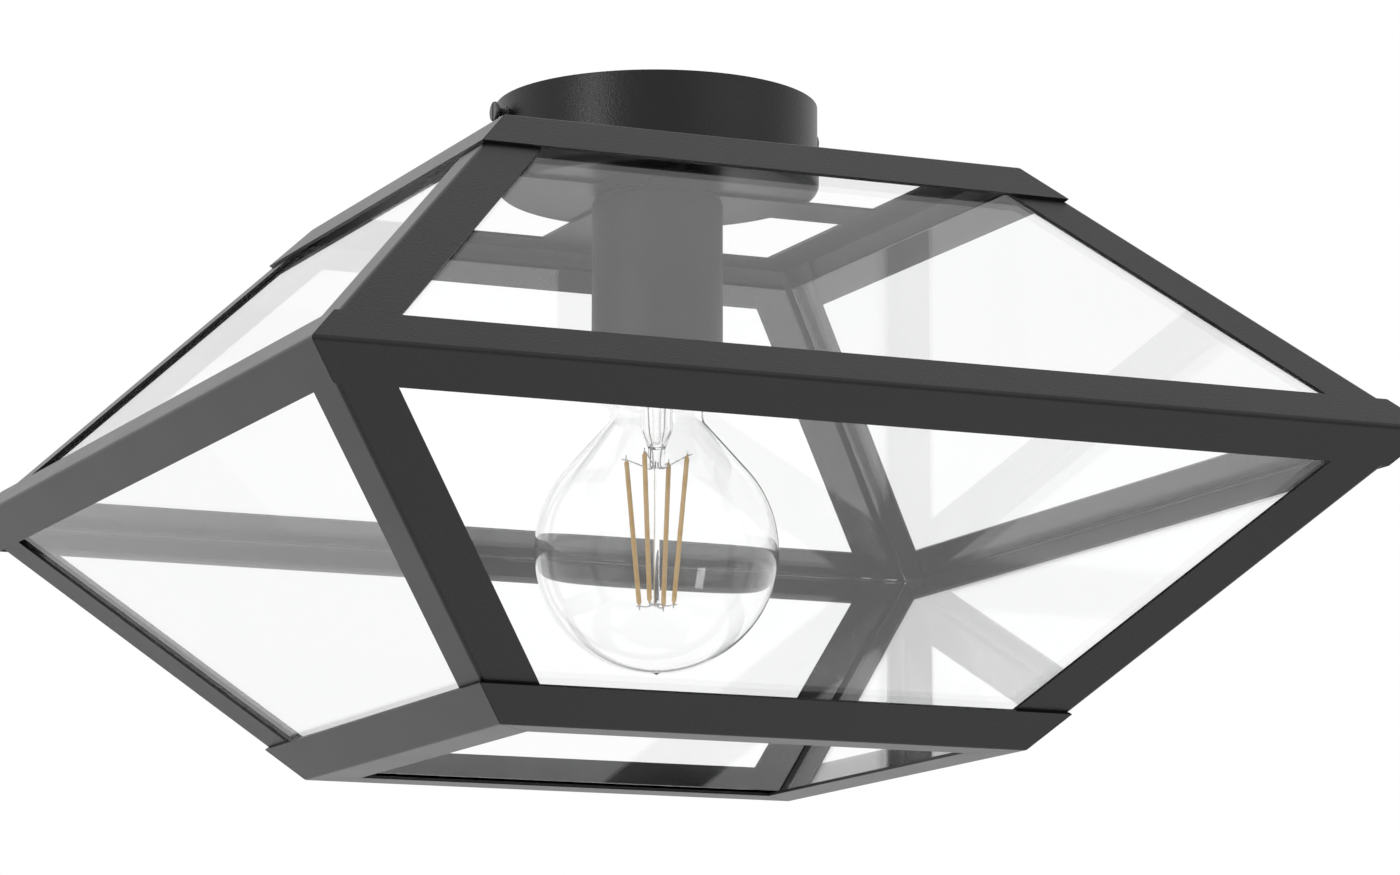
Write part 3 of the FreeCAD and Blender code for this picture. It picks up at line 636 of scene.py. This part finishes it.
def threaded_tube():
    """The nipple with a fine thread outside and chamfered ends."""
    low, high, radius, bore = -60.6, -26.65, 4.95, 3.6
    chamfer, taper, start = 0.3, 0.6, 0.5
    pitch, depth, turns, steps = 1.0, 0.5, 33, 7
    profile = [
        Vector((bore, low + chamfer)), Vector((bore + chamfer, low)), Vector((radius - taper, low)),
    ]
    profile += ladder(radius, low + start, high - start, turns * steps)
    profile += [
        Vector((radius - taper, high)), Vector((bore + chamfer, high)),
        Vector((bore, high - chamfer)),
    ]
    grooves = thread(pitch, depth, low + 0.3, high - 0.3, 0.5)

    def shape(reach, level, angle):
        return grooves(reach, level, angle) if abs(reach - radius) < NIL else reach

    formed("nipple_thread", Form().lathe(profile, 48, shape), ["zinc_steel"], "zinc_steel",
           "lantern", "nipple", angle=50.0)


def toothed_washer():
    """The lock washer with teeth round its edge."""
    low, high, bore, outer = -34.1, -33.3, 5.05, 9.0
    teeth, tooth_depth = 12, 1.3

    def shape(radius, level, angle):
        if radius < 6.0:
            return radius
        return radius - tooth_depth * (0.5 + 0.5 * math.tanh(4.0 * math.cos(teeth * angle)))

    profile = rounded([(bore, low, 0), (outer, low, 0.15), (outer, high, 0.15), (bore, high, 0)])
    formed("tooth_washer", Form().lathe(profile, 240, shape), ["zinc_steel"], "zinc_steel",
           "lantern", "lock_washer", angle=40.0)


# ---- lamp holder -----------------------------------------------------------------------------
def holder_pieces(lamp):
    """The two moulded shells: grip ribs outside, a rounded thread in the mouth."""
    rim, seat_low, top = -108.25, -81.85, -75.45
    play, wall, ribs, rib_depth = 0.1, 0.35, 36, 0.35
    outer, seat, bore = 19.0, 17.0, mm(lamp.cap_radius) + play + wall
    grooves = thread(mm(lamp.cap_lead), 0.95, rim + 1.0, seat_low - 1.0, 1.5)

    def shape(radius, level, angle):
        if abs(radius - bore) < NIL:
            return grooves(radius, level, angle + math.pi)
        if radius > outer - 0.6 and rim + 3.0 < level < top - 2.5:
            return radius - rib_depth * (0.5 + 0.5 * math.tanh(3.0 * math.cos(ribs * angle)))
        return radius

    profile = rounded(
        [(bore + 0.8, rim, 0), (outer, rim, 2.0), (outer, rim + 2.9, 0)], closed=False, step=12.0,
    )
    profile += [Vector((outer, level)) for level in (rim + 3.3, top - 2.8, top - 2.4, top)]
    profile += [Vector((seat, top)), Vector((seat, seat_low)), Vector((bore + 0.6, seat_low))]
    profile += list(reversed(ladder(bore, rim + 0.7, seat_low - 0.6, 84)))
    formed("holder_body", Form().lathe(profile, 216, shape), ["black_moulding"], "black_moulding",
           "lantern", "holder_shell", angle=50.0)
    low, shoulder, boss = top + 0.05, -57.4, -47.4
    cover = rounded([
        (seat, low, 0), (outer, low, 0.3), (outer, shoulder, 6.0), (9.6, shoulder, 1.2),
        (8.5, boss, 0.8), (5.0, boss, 0.4), (5.0, shoulder - 2.0, 0), (seat, shoulder - 2.0, 4.0),
    ])
    formed("holder_cover", Form().lathe(cover, 128), ["black_moulding"], "black_moulding",
           "lantern", "holder_dome")


# ---- globe lamp ------------------------------------------------------------------------------
def globe_side(lamp, offset, pip):
    """Meridian from the pole of the globe up to the neck, moved inward by an offset."""
    sphere = mm(lamp.globe) - offset
    neck = mm(lamp.neck) - offset
    fillet = 6.0 + offset
    pip_width, pole = 0.9, 0.12
    centre = Vector((0, mm(lamp.globe_level)))
    turn = Vector((neck + fillet, mm(lamp.neck_low)))
    between = turn - centre
    bearing = math.atan2(between.y, between.x) - math.acos((sphere + fillet) / between.length)
    low = math.radians(-90)
    points = arc(centre, sphere, low, low + pole, 12)[:-1]
    points += arc(centre, sphere, low + pole, bearing, 64)
    for point in points:
        point.y -= pip * math.exp(-(point.x / pip_width) ** 2)
    points += arc(turn, fillet, bearing + math.pi, math.pi, 12)
    points[0].x = 0.0
    return points


def lamp_glass(lamp):
    """The hollow globe with its neck turned in to the screw cap, and a small pip below."""
    wall = mm(lamp.wall)
    rim = mm(lamp.rim_level)
    throat, end = 12.65, rim + 4.6
    neck = mm(lamp.neck)
    outer = globe_side(lamp, 0.0, 0.9)
    outer += rounded([
        (neck, mm(lamp.neck_low) + 1, 0), (neck, rim, 3.0), (throat, rim, 0.5), (throat, end, 0),
    ], closed=False, step=8.0)
    inner = globe_side(lamp, wall, 0.0)
    inner += rounded([
        (neck - wall, mm(lamp.neck_low) + 1, 0), (neck - wall, rim - wall, 2.3),
        (throat - wall, rim - wall, 0.5), (throat - wall, end, 0),
    ], closed=False, step=8.0)
    form = Form().lathe(outer + list(reversed(inner)), 176, closed=False)
    formed("lamp_globe", form, ["lamp_glass"], "lamp_glass", "lamp", "bulb_glass", angle=60.0)


def lamp_stem(lamp):
    """Flared glass tube pinched flat at its end, with a pumping tube inside and a rod below."""
    low, high = mm(lamp.pinch_low), mm(lamp.pinch_high)
    top = mm(lamp.rim_level) + 3.6
    rod_end = mm(lamp.strip_low) - 1.9
    outer = rounded([
        (0, rod_end, 0), (1.1, rod_end, 0.7), (1.1, low, 0.4), (3.3, low, 1.2), (3.3, high, 0.8),
        (6.2, high + 6.5, 5.0), (6.2, top - 2.5, 1.6), (11.8, top - 1.0, 0.6), (11.8, top, 0.4),
    ], closed=False, step=12.0)
    cavity = rounded([
        (11.0, top, 0.3), (5.4, top - 1.9, 1.2), (5.4, high + 6.9, 5.0), (2.9, high + 1.4, 0.5),
        (2.0, high + 1.4, 0.3), (2.0, top + 6.0, 1.0), (1.3, top + 6.0, 0.4),
        (1.3, high + 2.2, 0.8), (0, high + 1.6, 0),
    ], closed=False, step=12.0)
    pinch, bearing = 0.34, math.radians(-24)

    def shape(radius, level, angle):
        grip = max(0.0, min(1.0, (high + 1.0 - level) / 2.0, (level - low + 0.6) / 1.0))
        flat = 1.0 - pinch * grip * (0.5 - 0.5 * math.cos(2 * (angle - bearing)))
        return radius * flat if radius > 1.2 and level < high + 1.0 else radius

    form = Form().lathe(outer + cavity, 72, shape, closed=False)
    formed("lamp_mount", form, ["lamp_glass"], "lamp_glass", "lamp", "glass_stem", angle=50.0)


def lamp_cap(lamp):
    """Rolled screw cap, black glass insulator and the soldered tip."""
    crest, top = mm(lamp.cap_radius), mm(lamp.cap_top)
    low = mm(lamp.rim_level) + 0.1
    wall, skirt, mouth = 0.35, 13.7, 8.65
    thread_low, thread_high, steps = low + 2.6, top - 2.4, 60
    outer = rounded([
        (13.1, low, 0), (skirt, low, 0.3), (skirt, low + 1.7, 0.5), (crest, low + 2.2, 0.2),
    ], closed=False)
    outer += ladder(crest, thread_low, thread_high, steps)
    outer += rounded([
        (crest, top - 2.2, 0), (crest, top - 2.0, 1.0), (9.0, top, 0.4), (mouth, top, 0),
    ], closed=False)
    inner = [Vector((mouth, top - wall)), Vector((crest - wall, top - 2.3))]
    inner += list(reversed(ladder(crest - wall, thread_low, thread_high, steps)))
    inner.append(Vector((crest - wall, low + 0.4)))
    grooves = thread(mm(lamp.cap_lead), 0.95, thread_low, thread_high, 1.6)

    def shape(radius, level, angle):
        on_wall = min(abs(radius - crest), abs(radius - crest + wall)) < NIL
        return grooves(radius, level, angle + math.pi) if on_wall else radius

    form = Form().lathe(outer + inner, 120, shape)
    formed("lamp_screw_cap", form, ["lamp_cap_metal"], "lamp_cap_metal", "lamp", "bulb_cap",
           angle=60.0)
    base = top + 3.0
    cone = rounded([
        (0, top - wall, 0), (8.6, top - wall, 0), (8.6, top + 0.2, 0.3), (5.2, base, 0.8),
        (0, base, 0),
    ], closed=False)
    formed("lamp_insulator", Form().lathe(cone, 96, closed=False), ["cap_insulation"],
           "cap_insulation", "lamp", "bulb_insulator")

    def blob(radius, level, angle):
        return radius * (1.0 - 0.05 * (0.5 + 0.5 * math.sin(3 * angle + level * 2)))

    dome = rounded([
        (0, base, 0), (4.6, base, 0.3), (4.2, base + 1.1, 1.6), (0, base + 1.8, 0),
    ], closed=False)
    formed("lamp_tip", Form().lathe(dome, 64, blob, closed=False), ["tip_solder"], "tip_solder",
           "lamp_carrier", "bulb_tip")


def rise(level):
    """A point on the axis."""
    return Vector((0, 0, level))


def strip_ends(lamp, index):
    """Upper and lower end of a filament."""
    angle = FULL_TURN / lamp.strips * (index + 0.5)
    radial = Vector((math.cos(angle), math.sin(angle), 0))
    upper = radial * mm(lamp.strip_top_reach) + rise(mm(lamp.strip_top))
    lower = radial * mm(lamp.strip_low_reach) + rise(mm(lamp.strip_low))
    return radial, upper, lower


def lamp_filaments(lamp):
    """Coated strips with bright end tabs, welded to bent spokes; feed wires in the stem."""
    strips = Form()
    radius = mm(lamp.strip_radius)
    routes = []
    hub_high = mm(lamp.pinch_low)
    hub_low = mm(lamp.strip_low) - 1.3
    tab = [Vector(point) for point in ((0, -0.4), (0.55, -0.4), (0.5, 0.9), (0.3, 1.1), (0, 1.1))]
    weld = 1.1
    for index in range(lamp.strips):
        radial, upper, lower = strip_ends(lamp, index)
        run = (upper - lower).length
        profile = rounded([
            (0, 0, 0), (radius, 0, 0.25), (radius, run, 0.25), (0, run, 0),
        ], closed=False, step=18.0)
        strips.lathe(profile, 20, closed=False, place=along(lower, upper))
        away = (upper - lower).normalized()
        for end, out in ((upper, away), (lower, -away)):
            strips.lathe(tab, 16, closed=False, mark=1, place=along(end, end + out))
            routes.append([end + out * 0.6, end + out * 2.5])
        tangent = Vector((-radial.y, radial.x, 0)) * 0.45
        joint = upper + away * weld + tangent
        routes.append([
            radial * 1.3 + rise(hub_high + 2.4), radial * 1.5 + rise(hub_high + 0.6),
            radial * 2.1 + tangent + rise(hub_high - 0.7),
            radial * 4.2 + tangent + rise(hub_high + 0.3), joint, joint + radial * 1.7,
        ])
        joint = lower - away * weld + tangent
        routes.append([
            radial * 0.6 + rise(hub_low + 0.9), radial * 1.7 + tangent + rise(hub_low + 0.4),
            radial * 3.6 + tangent + rise(hub_low - 0.4), joint, joint + radial * 1.1,
        ])
    formed("filament_strips", strips, ["filament_coating", "support_wire"], "filament_coating",
           "lamp", "filaments", angle=60.0)
    wires("filament_spokes", routes, 0.26, "support_wire", "support_wire", "lamp",
          "filament_wires")
    top, pinch = mm(lamp.rim_level), mm(lamp.pinch_high)
    feeds = []
    for side in (-1, 1):
        feeds.append([
            (side * 4.6, side * 1.2, top + 5.0), (side * 4.0, side * 1.0, top - 6.0),
            (side * 3.4, side * 0.4, pinch + 6.0), (side * 1.7, 0.2, pinch + 1.0),
            (side * 1.3, 0, hub_high + 2.0),
        ])
    wires("lamp_feed_wires", feeds, 0.25, "support_wire", "support_wire", "lamp")


# ---- stage -----------------------------------------------------------------------------------
# Each light's name, place and target in metres, width, height and power.
SOFT_BOXES = (
    ("window_box", (-1.55, -0.62, 0.32), (0.0, 0.0, -0.17), 0.25, 0.7, 6.5),
    ("key_box", (0.9, -1.6, 0.9), (0.0, 0.0, -0.15), 1.6, 1.6, 5.0),
    ("low_box", (0.58, -0.72, -1.7), (0.0, -0.1, -0.15), 1.95, 1.1, 4.0),
)
# Enough for a line of sight through two panes, the globe and its stem.
BOUNCES = 32
FLOOR_REACH = 80.0
FLOOR_LIFT = 0.2


def soft_box(name, place, target, width, height, power):
    """A rectangular studio light."""
    light = bpy.data.lights.new(name, "AREA")
    light.shape = "RECTANGLE"
    light.size = width
    light.size_y = height
    light.energy = power
    holder = bpy.data.objects.new(name, light)
    holder.location = place
    holder.rotation_euler = (Vector(target) - Vector(place)).to_track_quat("-Z", "Y").to_euler()
    bpy.context.scene.collection.objects.link(holder)


def background_rays(tree):
    """One for the rays of the camera, of gloss and through glass, and nought for the rest."""
    path = tree.node("ShaderNodeLightPath")
    kinds = ("Is Camera Ray", "Is Glossy Ray", "Is Transmission Ray")
    seen, mirrored, through = (Value(tree, path.outputs[kind]) for kind in kinds)
    return (seen + mirrored + through).at_most(1.0)


def make_world(room):
    """White to the eye, in gloss and through glass; the room's plain level lights the object."""
    tree = Tree(bpy.data.worlds.new("studio"))
    bpy.context.scene.world = tree.owner
    tree.owner.cycles.sampling_method = "NONE"
    brightness = room + background_rays(tree) * (1.0 - room)
    sky = tree.node("ShaderNodeBackground", None, {
        "Color": grey(tree, brightness), "Strength": 1.0,
    })
    ending = tree.node("ShaderNodeOutputWorld")
    tree.links.new(sky.outputs[0], ending.inputs["Surface"])


def make_floor(level):
    """A pale floor far below, nearly white to the eye, in gloss and through glass."""
    mesh = bpy.data.meshes.new("floor")
    near, far = -FLOOR_REACH, FLOOR_REACH
    corners = [(near, near, level), (far, near, level), (far, far, level), (near, far, level)]
    mesh.from_pydata(corners, [], [(0, 1, 2, 3)])
    floor = bpy.data.objects.new("floor", mesh)
    bpy.context.scene.collection.objects.link(floor)
    tree = finish("floor_paint", base_color=rgba(0.9), roughness=0.8, emission_strength=1.0)
    lift = background_rays(tree) * FLOOR_LIFT
    tree.feed(tree.shader.inputs["Emission Color"], grey(tree, lift))
    mesh.materials.append(FINISHES["floor_paint"].owner)


def make_camera(settings):
    """Camera at the photograph's angle."""
    camera = bpy.data.cameras.new("camera")
    camera.lens = settings.lens
    camera.sensor_width = 36.0
    camera.clip_end = 100.0
    holder = bpy.data.objects.new("camera", camera)
    holder.location = settings.place
    holder.rotation_euler = settings.turn
    bpy.context.scene.collection.objects.link(holder)
    bpy.context.scene.camera = holder


# ---- operators -------------------------------------------------------------------------------
class LANTERN_OT_finishes(bpy.types.Operator):
    """Make every finish of the lantern"""

    bl_idname = "lantern.finishes"
    bl_label = "Finishes"

    def execute(self, context):
        scene = context.scene
        make_finishes(scene.lantern_coat, scene.lantern_glass, scene.lantern_lamp)
        return {"FINISHED"}


class LANTERN_OT_cage(bpy.types.Operator):
    """Coat the folded rails, the hip bars and the cross plate"""

    bl_idname = "lantern.cage"
    bl_label = "Cage"

    def execute(self, context):
        for node in coated():
            paint(node, "powder_coat")
        return {"FINISHED"}


class LANTERN_OT_panes(bpy.types.Operator):
    """Make the eight panes with their ground edges"""

    bl_idname = "lantern.panes"
    bl_label = "Panes"

    def execute(self, context):
        for kind in ("upper", "lower"):
            for side in SIDES:
                pane(kind, side, context.scene.lantern_glass)
        return {"FINISHED"}


class LANTERN_OT_ceiling(bpy.types.Operator):
    """Make the canopy, its bracket and screws, the threaded tube and its nuts"""

    bl_idname = "lantern.ceiling"
    bl_label = "Canopy and bracket"

    def execute(self, context):
        paint("canopy", "powder_coat")
        soften("ceiling_bracket", 0.2 * MM, "zinc_steel")
        soften("earth_tag", 0.12 * MM, "zinc_steel")
        for side, sign in (("left", -1), ("right", 1)):
            node = "side_screw_" + side
            place = Matrix.Translation((sign * 54.6, 0, -7.6))
            place = place @ Matrix.Rotation(sign * math.pi / 2, 4, "Y")
            slotted_screw(node + "_cut", node, side + "_screw", place, shank=13.0,
                          head_radius=3.9, head_height=1.1, finish_name="black_screw")
            soften("side_washer_" + side, 0.1 * MM, "black_screw")
        place = Matrix.Translation((21.0, 0, -0.05)) @ Matrix.Rotation(math.pi, 4, "X")
        slotted_screw("earth_screw_cut", "earth_screw", "lantern", place, shank=1.5,
                      head_radius=4.0, head_height=1.6, finish_name="green_screw")
        threaded_tube()
        hexagon_nut("upper_nut_cut", "upper_nut", -33.25)
        hexagon_nut("lower_nut_cut", "lower_nut", -42.6)
        toothed_washer()
        return {"FINISHED"}


class LANTERN_OT_holder(bpy.types.Operator):
    """Make the sleeve and the lamp holder"""

    bl_idname = "lantern.holder"
    bl_label = "Sleeve and lamp holder"

    def execute(self, context):
        paint("sleeve", "sleeve_coat")
        holder_pieces(context.scene.lantern_lamp)
        soften("holder_insert", 0.3 * MM, "ceramic")
        for node in ("centre_contact", "side_contact"):
            soften(node, 0.08 * MM, "contact_brass")
        return {"FINISHED"}


class LANTERN_OT_lamp(bpy.types.Operator):
    """Make the globe lamp"""

    bl_idname = "lantern.lamp"
    bl_label = "Globe lamp"

    def execute(self, context):
        lamp = context.scene.lantern_lamp
        lamp_glass(lamp)
        lamp_stem(lamp)
        lamp_cap(lamp)
        lamp_filaments(lamp)
        return {"FINISHED"}


class LANTERN_OT_wiring(bpy.types.Operator):
    """Finish the terminal block and the leads"""

    bl_idname = "lantern.wiring"
    bl_label = "Wiring"

    def execute(self, context):
        soften("terminal_block", 0.3 * MM, "block_plastic")
        paint("terminal_screws", "zinc_steel")
        paint("lead_live", "lead_black")
        paint("lead_neutral", "lead_white")
        paint("lead_earth", "lead_green")
        return {"FINISHED"}


class LANTERN_OT_stage(bpy.types.Operator):
    """Set up the camera, the floor and the studio light"""

    bl_idname = "lantern.stage"
    bl_label = "Stage"

    def execute(self, context):
        settings = context.scene.lantern_stage
        context.scene.view_settings.view_transform = "Standard"
        context.scene.cycles.max_bounces = BOUNCES
        context.scene.cycles.transmission_bounces = BOUNCES
        make_camera(settings)
        make_world(settings.room)
        make_floor(settings.floor_level)
        for box in SOFT_BOXES:
            soft_box(*box)
        return {"FINISHED"}


class LANTERN_PT_panel(bpy.types.Panel):
    """Steps and settings of the lantern"""

    bl_idname = "LANTERN_PT_panel"
    bl_label = "Lantern"
    bl_space_type = "VIEW_3D"
    bl_region_type = "UI"
    bl_category = "Lantern"

    def draw(self, context):
        for name in GROUPS:
            group = getattr(context.scene, name)
            for key in group.bl_rna.properties.keys():
                if key not in ("rna_type", "name"):
                    self.layout.prop(group, key)
        for operator in STEPS:
            self.layout.operator(operator.bl_idname)


GROUPS = {
    "lantern_coat": CoatSettings,
    "lantern_glass": GlassSettings,
    "lantern_lamp": LampSettings,
    "lantern_stage": StageSettings,
}
STEPS = [
    LANTERN_OT_finishes, LANTERN_OT_cage, LANTERN_OT_panes, LANTERN_OT_ceiling, LANTERN_OT_holder,
    LANTERN_OT_lamp, LANTERN_OT_wiring, LANTERN_OT_stage,
]


def register():
    for group in GROUPS.values():
        bpy.utils.register_class(group)
    for name, group in GROUPS.items():
        setattr(bpy.types.Scene, name, PointerProperty(type=group))
    for kind in STEPS + [LANTERN_PT_panel]:
        bpy.utils.register_class(kind)


def unregister():
    for kind in reversed(STEPS + [LANTERN_PT_panel]):
        bpy.utils.unregister_class(kind)
    for name, group in GROUPS.items():
        delattr(bpy.types.Scene, name)
        bpy.utils.unregister_class(group)


def main():
    register()
    bpy.ops.lantern.finishes()
    bpy.ops.lantern.cage()
    bpy.ops.lantern.panes()
    bpy.ops.lantern.ceiling()
    bpy.ops.lantern.holder()
    bpy.ops.lantern.lamp()
    bpy.ops.lantern.wiring()
    bpy.ops.lantern.stage()


if __name__ == "__main__":
    main()
